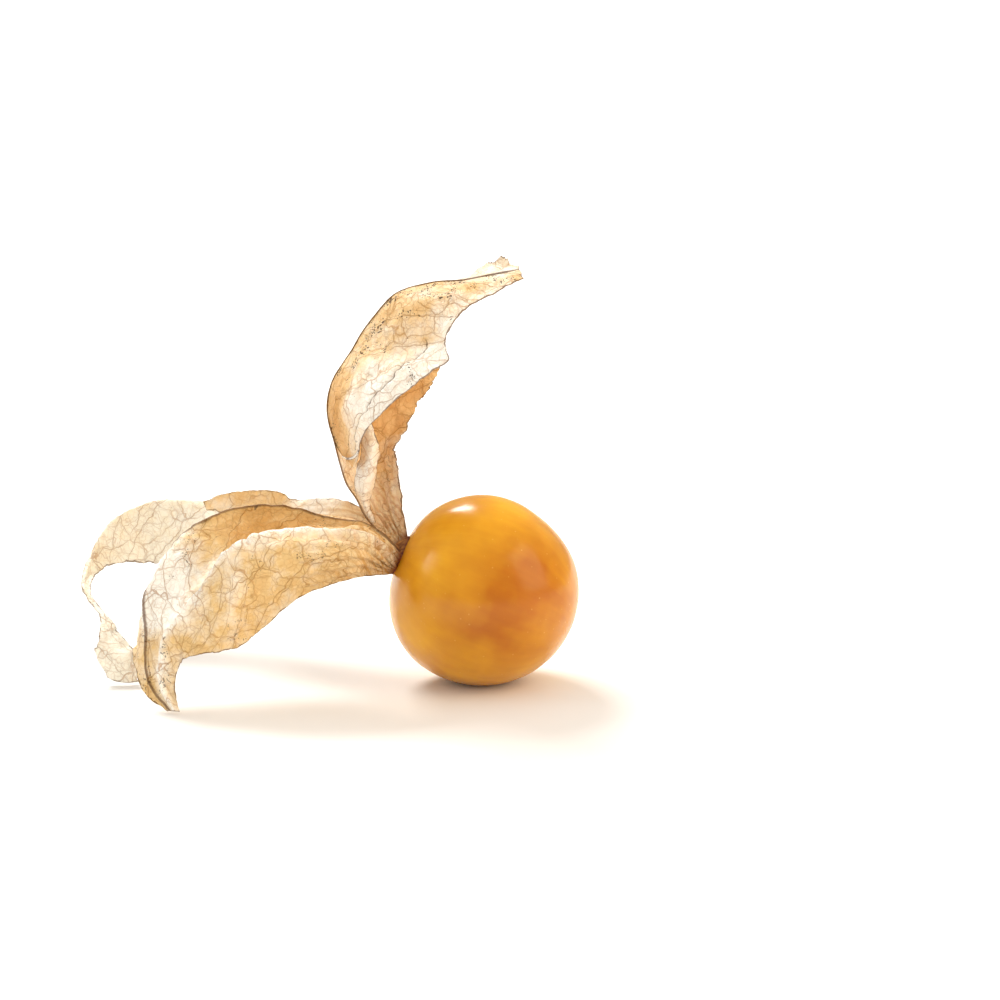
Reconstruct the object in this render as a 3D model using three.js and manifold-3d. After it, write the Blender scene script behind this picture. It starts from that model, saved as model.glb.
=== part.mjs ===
// Cape gooseberry (Physalis peruviana): a whole ripe berry that still sits on its calyx, with the dry
// papery husk torn open and peeled back from it. Millimetres, +Z up.
// The origin is the middle of the small flat that the ripe berry is pressed to where it rests.
// +X points away from the stalk, -Y to the side on which the front husk lobe hangs.

import * as THREE from 'three';
import { mergeVertices } from 'three/addons/utils/BufferGeometryUtils.js';
import Module from 'manifold-3d';

const wasm = await Module();
wasm.setup();

// ---- driving dimensions ----

const BERRY_RADIUS = 9.55;
const BERRY_CENTRE = new THREE.Vector3(0, 0, 9.4);
const BERRY_AROUND = 40;
const BERRY_RINGS = 28;

const STEM_TILT = THREE.MathUtils.degToRad(24); // the stem end looks this far above the horizontal
const STEM_DIRECTION = new THREE.Vector3(-Math.cos(STEM_TILT), 0, Math.sin(STEM_TILT));

// The soft fruit isn't quite round: towards each direction its radius changes by a share, and the
// change dies away over a spread in degrees.
const BERRY_SWELLS = [
  { towards: STEM_DIRECTION, share: -0.05, spread: 25 },
  { towards: new THREE.Vector3(0.65, 0, 0.76), share: -0.045, spread: 24 },
  { towards: new THREE.Vector3(-0.75, 0, -0.66), share: 0.035, spread: 28 },
];

const COLLAR_START = 9.55; // distances from the berry's centre, along the stem direction
const COLLAR_END = 10.2;
const COLLAR_FOOT_RADIUS = 1.05;
const COLLAR_RADIUS = 1.15;
const COLLAR_CROWN_RADIUS = 0.85;
const STALK_RADIUS = 0.55;
const STALK_PATH = [
  [-8.9, 0, 13.3], [-9.7, 0, 13.4], [-10.8, -0.1, 13.4], [-12, -0.25, 13.25], [-13, -0.5, 13],
];
const STALK_STEPS = 10;
const STALK_SIDES = 12;

const HUSK_THICKNESS = 0.4;

// ---- husk lobes ----
// Each lobe is a net of hand-set points: one row for each station from the calyx to the tip, and
// in each row one point for each rail that runs the length of the lobe.

// rails: far edge, far blade, midrib, near blade, near edge
const UPRIGHT_LOBE = [
  [[-8, 2.5, 14.25], [-9, 2.25, 14], [-9.75, 1.5, 14.5], [-9.25, 0.5, 15], [-8.5, 0, 15.5]],
  [[-8, 3.25, 16.5], [-9.5, 3.5, 16.25], [-11.5, 2.5, 16.75], [-10.5, 0, 17], [-8.75, -0.75, 17.25]],
  [[-8.5, 4, 19.25], [-10, 4.5, 19], [-14, 2.5, 19.5], [-12.25, -0.5, 20.25], [-10.5, -1, 20.5]],
  [[-8.5, 5.5, 22.5], [-10, 5.5, 22.5], [-14.75, 2, 23], [-13, -2.5, 23.5], [-11.5, -3, 23.75]],
  [[-6.75, 6.5, 26.75], [-9.5, 6.5, 26.5], [-15.5, 1.25, 27.5], [-13.5, -4, 27.25], [-11.5, -5, 26.25]],
  [[-4, 6.5, 30.5], [-7.5, 6.5, 30.75], [-14.75, 0.75, 31.25], [-11.75, -5, 30.75], [-7.75, -6, 30.25]],
  [[-3.75, 5.5, 33.25], [-6.75, 5.5, 34.25], [-12, 0.5, 35.25], [-8.5, -5, 34], [-3.25, -6, 33.5]],
  [[-3.25, 4.5, 37], [-5.25, 4.5, 37.75], [-8.75, 0.5, 39.25], [-5, -4, 37.5], [-2, -4.5, 38]],
  [[0, 2.5, 42.5], [-1.75, 2.5, 41.5], [-3.25, 0.5, 40.5], [-0.75, -2.5, 40.25], [1.25, -3, 39.75]],
  [[3.5, 1.5, 42.25], [3.5, 1.25, 41.75], [3.5, 0.5, 41.5], [3.75, 0, 41.25], [4, -1, 40.75]],
];

// rails: far edge, midrib, hollow, ridge of the fold, near wall, near edge
const FRONT_LOBE = [
  [
    [-9.5, -0.75, 14.75], [-9.5, -1.5, 14.75], [-9.5, -2, 14.25],
    [-9.5, -2.25, 13.75], [-9.5, -2, 12.75], [-9.75, -0.5, 11.5],
  ],
  [
    [-12.25, 2, 14.5], [-12.25, 0.5, 16], [-11.75, -1.5, 16],
    [-11.25, -3.5, 16.75], [-11.5, -6, 14.75], [-12.25, -4.5, 11.75],
  ],
  [
    [-16.25, 3.5, 13.25], [-16.25, 1.5, 16.75], [-15.75, -1.5, 15.75],
    [-15.25, -5, 17.25], [-15.5, -8, 14.75], [-16, -6, 11],
  ],
  [
    [-21, 3.5, 13], [-20.5, 1, 17.75], [-19.75, -2.5, 15.5],
    [-19.25, -6.5, 17.25], [-19.5, -9, 13.75], [-18.75, -7.5, 9.75],
  ],
  [
    [-25.25, 2, 12], [-25, 0, 17.75], [-23.25, -4, 14.75],
    [-22.5, -7.5, 16.5], [-22.5, -10, 11.75], [-22, -8.5, 7],
  ],
  [
    [-28.25, -1, 9.75], [-29, -2.5, 16], [-26.25, -6, 13.5],
    [-24.75, -8.5, 14.75], [-24, -11, 10.25], [-24, -10, 6],
  ],
  [
    [-30, -4, 6.75], [-32, -5, 12.75], [-29, -7.5, 11],
    [-25.5, -10, 11.75], [-25.25, -11.5, 8.5], [-26.25, -11, 5.75],
  ],
  [
    [-32.75, -6, 5.5], [-33.5, -7, 8.25], [-31.5, -8.25, 8.5],
    [-28.25, -10.5, 9], [-28, -11.25, 7.25], [-28.75, -11.25, 5.25],
  ],
  [
    [-34.25, -7.5, 5], [-33, -8.5, 6.25], [-31.5, -9.25, 6.5],
    [-30.25, -10.5, 7.25], [-29.5, -11, 6], [-29.25, -11.25, 4.5],
  ],
  [
    [-33, -10, 1.75], [-31.75, -10.5, 3.25], [-31, -11, 3.25],
    [-30.5, -11.25, 3], [-30, -11.5, 2.75], [-29.75, -11.75, 2.25],
  ],
  [
    [-30.5, -12, 0.25], [-30.25, -12, 0.3], [-30, -12, 0.3],
    [-29.75, -12, 0.3], [-29.5, -12, 0.3], [-29.25, -12, 0.25],
  ],
];

// rails: far edge, midrib along the top, upper blade, lower blade, near edge
const REAR_LOBE = [
  [[-9.5, 3.25, 12.75], [-9.5, 2.9, 12.25], [-9.5, 2.5, 11.75], [-9.75, 2, 11.5], [-9.75, 1.25, 11.25]],
  [
    [-13.5, 8.5, 13.5], [-13.75, 7, 14.75], [-13.75, 6, 14.25],
    [-13.75, 5.25, 13.25], [-13.75, 5.25, 12.25],
  ],
  [[-19.25, 14, 13], [-19, 12, 14.75], [-19, 10.5, 14], [-19, 8.75, 13.25], [-19, 8.5, 11.5]],
  [[-25.5, 18, 12.75], [-24.75, 15.25, 15], [-24.5, 13.5, 14.25], [-24.5, 12, 13.25], [-24, 11, 11.25]],
  [[-31.5, 20.5, 12], [-30, 17.5, 14.75], [-29.75, 16, 13.25], [-29.5, 15, 11.25], [-29, 14, 9.25]],
  [
    [-37.5, 20.75, 11], [-35.5, 18.25, 14.5], [-35.25, 17.5, 12.25],
    [-35, 16.5, 10], [-34.5, 15.5, 8.25],
  ],
  [
    [-41, 17.5, 9.75], [-39.75, 15.75, 12.5], [-39.25, 15.5, 11],
    [-38.75, 15, 9.75], [-38.25, 14.25, 8.75],
  ],
  [[-41.75, 12, 8.75], [-41.25, 11.5, 9], [-41, 12, 8.75], [-40.75, 12, 8.5], [-40.25, 11.75, 8.25]],
  [[-41.25, 7, 7.5], [-41, 7.1, 7.5], [-40.75, 7.25, 7.4], [-40.5, 7.4, 7.4], [-40.25, 7.5, 7.5]],
  [[-39, 3, 5.7], [-38.75, 3, 5.75], [-38.5, 3.1, 5.8], [-38.25, 3.2, 5.9], [-38, 3.25, 6]],
  [[-38.75, -0.75, 4], [-38.25, -0.25, 4], [-37.75, 0.25, 4], [-37.25, 0.75, 4.25], [-36.5, 1.25, 4.5]],
  [[-39, -0.75, 3.25], [-38, -1.25, 2.75], [-37, -1.5, 2.5], [-35.75, -1.5, 2.25], [-34.25, -1, 2.25]],
  [
    [-37.75, -1.5, 0.75], [-37, -1.6, 0.4], [-36.25, -1.75, 0.3],
    [-35.5, -1.75, 0.25], [-34.5, -1.5, 0.3],
  ],
];

// rails: near edge, middle, far edge
const TORN_LOBE = [
  [[-10, 2.75, 14.5], [-10.25, 3, 14.75], [-10.25, 3.25, 15.25]],
  [[-12.25, 3.5, 15.25], [-12.25, 4, 16], [-12.25, 4.5, 16.75]],
  [[-14.75, 4, 15.5], [-14.75, 4.5, 16.5], [-14.5, 5.25, 17.5]],
  [[-17, 5, 15.25], [-17.25, 5.75, 16.25], [-16.75, 6.25, 17.5]],
  [[-19, 6, 15], [-19.25, 6.75, 16.25], [-19, 7.5, 17]],
  [[-21.5, 7, 15], [-21.5, 8, 16.5], [-21.25, 8.5, 17.75]],
  [[-24.25, 8, 15], [-24.25, 9, 16.25], [-24.25, 9.5, 17.75]],
  [[-27, 8.5, 15.25], [-27, 9.25, 16.25], [-26.75, 9.75, 17.25]],
  [[-28.5, 9, 15.5], [-28.75, 9.5, 16], [-29, 9.75, 16.5]],
];

// ---- materials ----

const berrySkin = new THREE.MeshStandardMaterial({ color: 0xd9881e, roughness: 0.28, metalness: 0 });
const driedStalk = new THREE.MeshStandardMaterial({ color: 0x6b3a1a, roughness: 0.85, metalness: 0 });
const huskPaper = new THREE.MeshStandardMaterial({ color: 0xe9cb94, roughness: 0.75, metalness: 0 });

// ---- helpers ----

/** A geometry as a manifold solid, with its shared corners merged. */
function toSolid(geometry) {
  const bare = geometry.clone();
  bare.deleteAttribute('normal');
  bare.deleteAttribute('uv');
  const merged = mergeVertices(bare, 1e-4);
  const vertProperties = new Float32Array(merged.attributes.position.array);
  const triVerts = new Uint32Array(merged.index.array);
  return new wasm.Manifold(new wasm.Mesh({ numProp: 3, vertProperties, triVerts }));
}

/** A manifold solid as a geometry. */
function toGeometry(solid) {
  const mesh = solid.getMesh();
  const geometry = new THREE.BufferGeometry();
  geometry.setAttribute('position', new THREE.BufferAttribute(mesh.vertProperties, 3));
  geometry.setIndex(new THREE.BufferAttribute(mesh.triVerts, 1));
  geometry.computeVertexNormals();
  return geometry;
}

/** A smooth curve through points, each [x, y, z] or a Vector3. */
function smoothCurve(points) {
  const places = points.map((p) => (p.isVector3 ? p : new THREE.Vector3(...p)));
  return new THREE.CatmullRomCurve3(places, false, 'catmullrom', 0.5);
}

/** A closed thin shell on the smooth sheet through a lobe's net of points. */
function huskSheet(net, lengthSteps, widthSteps) {
  const rails = net[0].map((_, rail) => smoothCurve(net.map((station) => station[rail])));
  const middle = [];
  for (let i = 0; i <= lengthSteps; i += 1) {
    const across = smoothCurve(rails.map((rail) => rail.getPoint(i / lengthSteps)));
    middle.push(Array.from({ length: widthSteps + 1 }, (_, j) => across.getPoint(j / widthSteps)));
  }

  const normalAt = (i, j) => {
    const along = middle[Math.min(i + 1, lengthSteps)][j].clone().sub(middle[Math.max(i - 1, 0)][j]);
    const across = middle[i][Math.min(j + 1, widthSteps)].clone().sub(middle[i][Math.max(j - 1, 0)]);
    return along.cross(across).normalize();
  };

  const positions = [];
  for (const side of [1, -1]) {
    middle.forEach((row, i) => row.forEach((point, j) => {
      positions.push(...point.clone().addScaledVector(normalAt(i, j), (side * HUSK_THICKNESS) / 2));
    }));
  }

  const rowLength = widthSteps + 1;
  const layer = rowLength * (lengthSteps + 1);
  const indices = [];
  const quad = (a, b, c, d) => indices.push(a, b, c, a, c, d);
  for (let i = 0; i < lengthSteps; i += 1) {
    for (let j = 0; j < widthSteps; j += 1) {
      const corner = i * rowLength + j;
      const next = corner + rowLength;
      quad(corner, next, next + 1, corner + 1);
      quad(layer + corner, layer + corner + 1, layer + next + 1, layer + next);
    }
    for (const [edge, flip] of [[i * rowLength, false], [i * rowLength + widthSteps, true]]) {
      const next = edge + rowLength;
      if (flip) quad(edge, next, layer + next, layer + edge);
      else quad(edge, layer + edge, layer + next, next);
    }
  }
  for (let j = 0; j < widthSteps; j += 1) {
    const far = lengthSteps * rowLength + j;
    quad(j, j + 1, layer + j + 1, layer + j);
    quad(far, layer + far, layer + far + 1, far + 1);
  }

  const geometry = new THREE.BufferGeometry();
  geometry.setAttribute('position', new THREE.Float32BufferAttribute(positions, 3));
  geometry.setIndex(indices);
  geometry.computeVertexNormals();
  return geometry;
}

// ---- the berry ----

/** The berry's radius towards a point, as a share of its even radius. */
function berryShape(point) {
  return BERRY_SWELLS.reduce((radius, swell) => {
    const away = THREE.MathUtils.radToDeg(point.angleTo(swell.towards)) / swell.spread;
    return radius + swell.share * Math.exp(-away * away);
  }, 1);
}

/** The ripe berry: a ball with its swells, cut flat where it rests. */
function berryGeometry() {
  const ball = new THREE.SphereGeometry(BERRY_RADIUS, BERRY_AROUND, BERRY_RINGS);
  ball.rotateX(Math.PI / 2);
  const place = ball.attributes.position;
  const point = new THREE.Vector3();
  for (let i = 0; i < place.count; i += 1) {
    point.fromBufferAttribute(place, i);
    point.multiplyScalar(berryShape(point)).add(BERRY_CENTRE);
    place.setXYZ(i, point.x, point.y, point.z);
  }

  const underFloor = new THREE.BoxGeometry(BERRY_RADIUS, BERRY_RADIUS, BERRY_RADIUS);
  underFloor.translate(0, 0, -BERRY_RADIUS / 2);
  return toGeometry(toSolid(ball).subtract(toSolid(underFloor)));
}

// ---- the calyx collar and the stub of the fruit stalk, one piece ----

function stalkGeometry() {
  const middle = (COLLAR_START + COLLAR_END) / 2;
  const collar = new THREE.LatheGeometry([
    new THREE.Vector2(0, COLLAR_START),
    new THREE.Vector2(COLLAR_FOOT_RADIUS, COLLAR_START),
    new THREE.Vector2(COLLAR_RADIUS, middle),
    new THREE.Vector2(COLLAR_CROWN_RADIUS, COLLAR_END),
    new THREE.Vector2(0, COLLAR_END),
  ], STALK_SIDES * 2);
  const latheAxis = new THREE.Vector3(0, 1, 0);
  collar.applyQuaternion(new THREE.Quaternion().setFromUnitVectors(latheAxis, STEM_DIRECTION));
  collar.translate(BERRY_CENTRE.x, BERRY_CENTRE.y, BERRY_CENTRE.z);

  const section = new THREE.Shape();
  section.absarc(0, 0, STALK_RADIUS, 0, 2 * Math.PI, false);
  const stalk = new THREE.ExtrudeGeometry(section, {
    curveSegments: STALK_SIDES,
    steps: STALK_STEPS,
    extrudePath: smoothCurve(STALK_PATH),
  });

  return toGeometry(toSolid(collar).add(toSolid(stalk)));
}

// ---- assembly ----

const gooseberry = new THREE.Group();
const pieces = [
  ['berry', berryGeometry(), berrySkin],
  ['stalk', stalkGeometry(), driedStalk],
  ['husk_lobe_upright', huskSheet(UPRIGHT_LOBE, 30, 12), huskPaper],
  ['husk_lobe_front', huskSheet(FRONT_LOBE, 33, 16), huskPaper],
  ['husk_lobe_rear', huskSheet(REAR_LOBE, 36, 8), huskPaper],
  ['husk_lobe_torn', huskSheet(TORN_LOBE, 20, 6), huskPaper],
];
for (const [name, geometry, material] of pieces) {
  const piece = new THREE.Mesh(geometry, material.clone());
  piece.name = name;
  gooseberry.add(piece);
}

export default gooseberry;
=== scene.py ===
import math

import bmesh
import bpy
import numpy as np
from mathutils import Matrix, Vector, noise


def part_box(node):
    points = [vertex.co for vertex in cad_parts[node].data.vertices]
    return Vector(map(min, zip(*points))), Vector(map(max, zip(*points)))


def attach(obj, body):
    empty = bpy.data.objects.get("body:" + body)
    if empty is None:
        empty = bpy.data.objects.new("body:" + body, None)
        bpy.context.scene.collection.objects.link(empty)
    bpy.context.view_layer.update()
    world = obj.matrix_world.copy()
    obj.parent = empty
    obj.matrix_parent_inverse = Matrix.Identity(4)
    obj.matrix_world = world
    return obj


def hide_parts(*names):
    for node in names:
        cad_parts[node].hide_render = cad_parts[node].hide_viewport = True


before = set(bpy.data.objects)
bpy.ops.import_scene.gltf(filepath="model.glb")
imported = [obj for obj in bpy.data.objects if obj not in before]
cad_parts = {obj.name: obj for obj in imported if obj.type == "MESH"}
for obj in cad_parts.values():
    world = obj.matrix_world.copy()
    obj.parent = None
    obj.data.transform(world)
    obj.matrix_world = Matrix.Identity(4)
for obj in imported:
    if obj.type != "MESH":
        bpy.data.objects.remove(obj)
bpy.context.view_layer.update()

# ---- Camera ----
# A long lens looks slightly down on the fruit, which stands left of the middle of the frame and low
# in it. Every place is taken from the berry, whose centre is one radius in from its right and top.

MM = 0.001
berry_low, berry_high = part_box("berry")
BERRY_RADIUS = (berry_high.y - berry_low.y) / 2
BERRY_CENTRE = berry_high - Vector((BERRY_RADIUS, BERRY_RADIUS, BERRY_RADIUS))

CAMERA_ELEVATION = math.radians(12)
CAMERA_DISTANCE = 278 * MM
CAMERA_LENS = 100
AIM_RIGHT_OF_BERRY = 1.65 * MM
AIM_ABOVE_BERRY = 9.0 * MM

look = Vector((0, math.cos(CAMERA_ELEVATION), -math.sin(CAMERA_ELEVATION)))
camera_up = Vector((0, math.sin(CAMERA_ELEVATION), math.cos(CAMERA_ELEVATION)))
aim = BERRY_CENTRE + AIM_RIGHT_OF_BERRY * Vector((1, 0, 0)) + AIM_ABOVE_BERRY * camera_up
camera = bpy.data.objects.new("camera", bpy.data.cameras.new("camera"))
camera.data.lens = CAMERA_LENS
camera.data.clip_start = 0.01
camera.location = aim - CAMERA_DISTANCE * look
camera.rotation_euler = look.to_track_quat("-Z", "Y").to_euler()
bpy.context.collection.objects.link(camera)
scene = bpy.context.scene
scene.camera = camera
scene.view_settings.view_transform = "Standard"

# ---- Studio ----
# A white sweep in an even white room, under soft boxes: one over and behind the fruit, a tall one at
# its right and a small one at its left. Only the fruit's own shadow shows on the sweep.

FLOOR_SIZE = 1.6
FLOOR_DROP = 0.02 * MM
ROOM_LIGHT = 1.02
REFLECTED_ROOM = 0.30
BACKDROP_LIGHT = 1.1
SOFT_BOXES = [
    # name, direction from the berry, distance, width, height, power in watts, colour
    ("top_box", (-0.37, 0.60, 0.71), 1.0, 0.50, 0.28, 11.0, "#FFFFFF"),
    ("side_box", (0.81, -0.32, 0.48), 1.0, 0.65, 0.9, 5.6, "#FFE3B8"),
    ("small_box", (-0.88, -0.07, 0.47), 1.0, 0.22, 0.30, 0.9, "#FFFFFF"),
]


def linear(hex_colour):
    """An sRGB colour such as "#E9CB94" as linear red, green, blue and alpha."""
    parts = [int(hex_colour[k:k + 2], 16) / 255 for k in (1, 3, 5)]
    return [c / 12.92 if c <= 0.04045 else ((c + 0.055) / 1.055) ** 2.4 for c in parts] + [1.0]


def add(tree, kind, inputs=None, **settings):
    """Adds a node to tree. settings are its own, and inputs are values or the sockets to link."""
    made = tree.nodes.new(kind)
    for name, value in settings.items():
        setattr(made, name, value)
    for key, value in (inputs or {}).items():
        if isinstance(value, bpy.types.NodeSocket):
            tree.links.new(value, made.inputs[key])
        else:
            made.inputs[key].default_value = value
    return made


def new_material(name):
    """An empty node material and its node tree."""
    material = bpy.data.materials.new(name)
    material.use_nodes = True
    material.node_tree.nodes.clear()
    return material, material.node_tree


floor_mesh = bpy.data.meshes.new("floor")
bm = bmesh.new()
bmesh.ops.create_grid(bm, x_segments=1, y_segments=1, size=FLOOR_SIZE / 2)
bmesh.ops.translate(bm, verts=bm.verts, vec=(0, 0, -FLOOR_DROP))
bm.to_mesh(floor_mesh)
bm.free()
floor = bpy.data.objects.new("floor", floor_mesh)
bpy.context.collection.objects.link(floor)

sweep_paper, tree = new_material("white_sweep_paper")
surface = add(tree, "ShaderNodeBsdfPrincipled", {"Base Color": linear("#E8E6E3"), "Roughness": 0.6,
                                                 "Specular IOR Level": 0.3})
add(tree, "ShaderNodeOutputMaterial", {"Surface": surface.outputs["BSDF"]})
floor_mesh.materials.append(sweep_paper)

for name, towards, distance, width, height, power, tint in SOFT_BOXES:
    light = bpy.data.lights.new(name, "AREA")
    light.shape = "RECTANGLE"
    light.size = width
    light.size_y = height
    light.energy = power
    light.color = linear(tint)[:3]
    lamp = bpy.data.objects.new(name, light)
    direction = Vector(towards).normalized()
    lamp.location = BERRY_CENTRE + distance * direction
    lamp.rotation_euler = (-direction).to_track_quat("-Z", "Y").to_euler()
    bpy.context.collection.objects.link(lamp)

world = bpy.data.worlds.new("white_room")
scene.world = world
world.use_nodes = True
tree = world.node_tree
tree.nodes.clear()
seen = add(tree, "ShaderNodeLightPath")
mirrored = add(tree, "ShaderNodeMix", {"Factor": seen.outputs["Is Glossy Ray"], "A": ROOM_LIGHT,
                                       "B": REFLECTED_ROOM}, data_type="FLOAT")
strength = add(tree, "ShaderNodeMix", {"Factor": seen.outputs["Is Camera Ray"],
                                       "A": mirrored.outputs["Result"],
                                       "B": BACKDROP_LIGHT}, data_type="FLOAT")
room = add(tree, "ShaderNodeBackground", {"Color": linear("#FFFDFA"),
                                          "Strength": strength.outputs["Result"]})
add(tree, "ShaderNodeOutputWorld", {"Surface": room.outputs["Background"]})

# ---- Berry ----
# A ripe round fruit with a thin, waxy, glossy skin over juicy flesh. It is a little flattened at the
# stem end and on one shoulder, swells low on the stem side, and is pressed flat where it rests.

STEM_TILT = math.radians(24)
STEM_DIRECTION = Vector((-math.cos(STEM_TILT), 0, math.sin(STEM_TILT)))
BERRY_SWELLS = [
    # towards, share of the radius, spread in degrees
    (STEM_DIRECTION, -0.05, 25),
    (Vector((0.65, 0, 0.76)), -0.045, 24),
    (Vector((-0.75, 0, -0.66)), 0.035, 28),
]
DEEP_ORANGE_PLACE = Vector((3.5, -8.0, 1.0)) * MM
BERRY_DIMPLING = 0.02 * MM
BERRY_DIMPLE_SIZE = 1.6 * MM


def berry_skin():
    """Cape gooseberry skin: golden orange in broad patches, deeper orange round a place on the side towards
    the camera and yellower away from it, with faint meridian streaks, small pale lenticels and a wax bloom
    that blurs its gloss. Light goes a millimetre or two into the flesh."""
    material, tree = new_material("gooseberry_skin")
    place = add(tree, "ShaderNodeTexCoord")
    centred = add(tree, "ShaderNodeVectorMath", {0: place.outputs["Object"], 1: BERRY_CENTRE},
                  operation="SUBTRACT")
    upright = add(tree, "ShaderNodeMapping", {"Vector": centred.outputs["Vector"],
                                              "Rotation": (0, math.pi / 2 - STEM_TILT, 0),
                                              "Scale": (1 / MM, 1 / MM, 1 / MM)})
    axes = add(tree, "ShaderNodeSeparateXYZ", {"Vector": upright.outputs["Vector"]})
    around = add(tree, "ShaderNodeMath", {0: axes.outputs["Y"], 1: axes.outputs["X"]}, operation="ARCTAN2")

    # Broad ripening patches, 6 to 8 mm across.
    patches = add(tree, "ShaderNodeTexNoise", {"Vector": upright.outputs["Vector"], "Scale": 0.16,
                                               "Detail": 3.0, "Roughness": 0.5})
    # Deeper orange round a place on the side towards the camera, yellower 3 to 13 mm away from it.
    from_deep_orange_place = add(tree, "ShaderNodeVectorMath", {0: centred.outputs["Vector"], 1: DEEP_ORANGE_PLACE},
                operation="DISTANCE")
    yellower_away = add(tree, "ShaderNodeMapRange", {"Value": from_deep_orange_place.outputs["Value"], "From Min": 3 * MM,
                                              "From Max": 13 * MM, "To Min": -0.2, "To Max": 0.24})
    patchy = add(tree, "ShaderNodeMath", {0: patches.outputs["Fac"], 1: yellower_away.outputs["Result"]},
                 operation="ADD")
    skin_colour = add(tree, "ShaderNodeValToRGB", {"Fac": patchy.outputs["Value"]})
    skin_colour.color_ramp.elements[0].position = 0.2
    skin_colour.color_ramp.elements[0].color = linear("#B0640A")
    skin_colour.color_ramp.elements[1].position = 0.85
    skin_colour.color_ramp.elements[1].color = linear("#E2A522")

    # Meridian streaks about 1 mm apart, from the stem end to the blossom end.
    streak_place = add(tree, "ShaderNodeCombineXYZ", {"X": around.outputs["Value"], "Y": axes.outputs["Z"]})
    streak_scale = add(tree, "ShaderNodeVectorMath", {0: streak_place.outputs["Vector"],
                                                      1: (9.0, 0.14, 1.0)}, operation="MULTIPLY")
    streaks = add(tree, "ShaderNodeTexNoise", {"Vector": streak_scale.outputs["Vector"], "Scale": 1.0,
                                               "Detail": 4.0, "Roughness": 0.6})
    streaked = add(tree, "ShaderNodeMix", {"Factor": 0.22, "A": skin_colour.outputs["Color"],
                                           "B": streaks.outputs["Fac"]},
                   data_type="RGBA", blend_type="SOFT_LIGHT")

    # Pale lenticels, dots of 0.1 to 0.15 mm about 0.9 mm apart.
    dots = add(tree, "ShaderNodeTexVoronoi", {"Vector": upright.outputs["Vector"], "Scale": 1.1})
    dot_mask = add(tree, "ShaderNodeMapRange", {"Value": dots.outputs["Distance"], "From Min": 0.05,
                                                "From Max": 0.12, "To Min": 0.35, "To Max": 0.0})
    freckled = add(tree, "ShaderNodeMix", {"Factor": dot_mask.outputs["Result"],
                                           "A": streaked.outputs["Result"], "B": linear("#E8BC5C")},
                   data_type="RGBA")

    # The wax bloom: gloss that varies softly over 2 to 3 mm.
    bloom = add(tree, "ShaderNodeTexNoise", {"Vector": upright.outputs["Vector"], "Scale": 0.45,
                                             "Detail": 4.0})
    gloss = add(tree, "ShaderNodeMapRange", {"Value": bloom.outputs["Fac"], "From Min": 0.3, "From Max": 0.7,
                                             "To Min": 0.19, "To Max": 0.27})
    grain = add(tree, "ShaderNodeTexNoise", {"Vector": upright.outputs["Vector"], "Scale": 5.0,
                                             "Detail": 3.0})
    bumps = add(tree, "ShaderNodeBump", {"Strength": 0.06, "Distance": 0.05 * MM,
                                         "Height": grain.outputs["Fac"]})
    skin = add(tree, "ShaderNodeBsdfPrincipled", {
        "Base Color": freckled.outputs["Result"],
        "Roughness": gloss.outputs["Result"],
        "Normal": bumps.outputs["Normal"],
        "IOR": 1.42,
        "Specular IOR Level": 0.38,
        "Subsurface Weight": 0.25,
        "Subsurface Radius": (1.0, 0.5, 0.12),
        "Subsurface Scale": 1.6 * MM,
        "Coat Weight": 0.1,
        "Coat Roughness": 0.18,
    })
    add(tree, "ShaderNodeOutputMaterial", {"Surface": skin.outputs["BSDF"]})
    return material


def new_piece(name, bm, material, slot, *nodes):
    """Makes a piece of the object from bm, which stands for the CAD nodes named."""
    mesh = bpy.data.meshes.new(name)
    for face in bm.faces:
        face.smooth = True
    bm.to_mesh(mesh)
    bm.free()
    mesh.materials.append(material)
    piece = bpy.data.objects.new(name, mesh)
    bpy.context.collection.objects.link(piece)
    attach(piece, "root")
    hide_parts(*nodes)
    return piece


bm = bmesh.new()
bmesh.ops.create_icosphere(bm, subdivisions=7, radius=BERRY_RADIUS)
for vert in bm.verts:
    direction = vert.co.normalized()
    share = 1.0
    for towards, change, spread in BERRY_SWELLS:
        away = math.degrees(direction.angle(towards)) / spread
        share += change * math.exp(-away * away)
    uneven = BERRY_DIMPLING * noise.noise(vert.co / BERRY_DIMPLE_SIZE)
    vert.co = vert.co * share + direction * uneven
bmesh.ops.translate(bm, verts=bm.verts, vec=BERRY_CENTRE)
cut = bmesh.ops.bisect_plane(bm, geom=bm.verts[:] + bm.edges[:] + bm.faces[:], dist=1e-7,
                             plane_co=(0, 0, 0), plane_no=(0, 0, 1), clear_inner=True)
rim = [part for part in cut["geom_cut"] if isinstance(part, bmesh.types.BMEdge)]
bmesh.ops.contextual_create(bm, geom=rim)
new_piece("berry_flesh_and_skin", bm, berry_skin(), "berry_skin", "berry")

# ---- Calyx collar and stalk ----
# The dry ring where husk, stalk and berry grew together: dark red-brown against the skin, paler
# outwards, with the stub of the fruit stalk inside the husk.

COLLAR_PROFILE = [
    # out from the stem direction, along it from the berry's centre
    (0.0, 8.8), (1.85, 8.65), (2.05, 8.85), (2.0, 9.1), (1.75, 9.35), (1.2, 9.7), (0.6, 10.0), (0.0, 10.1),
]
COLLAR_SEGMENTS = 64
COLLAR_LOBES = 5
COLLAR_LOBE_DEPTH = 0.08
STALK_PATH = [(-8.9, 0, 13.3), (-9.7, 0, 13.4), (-10.8, -0.1, 13.4), (-12, -0.25, 13.25), (-13, -0.5, 13)]
STALK_RADIUS = 0.5
STALK_RIBS = 5


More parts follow.
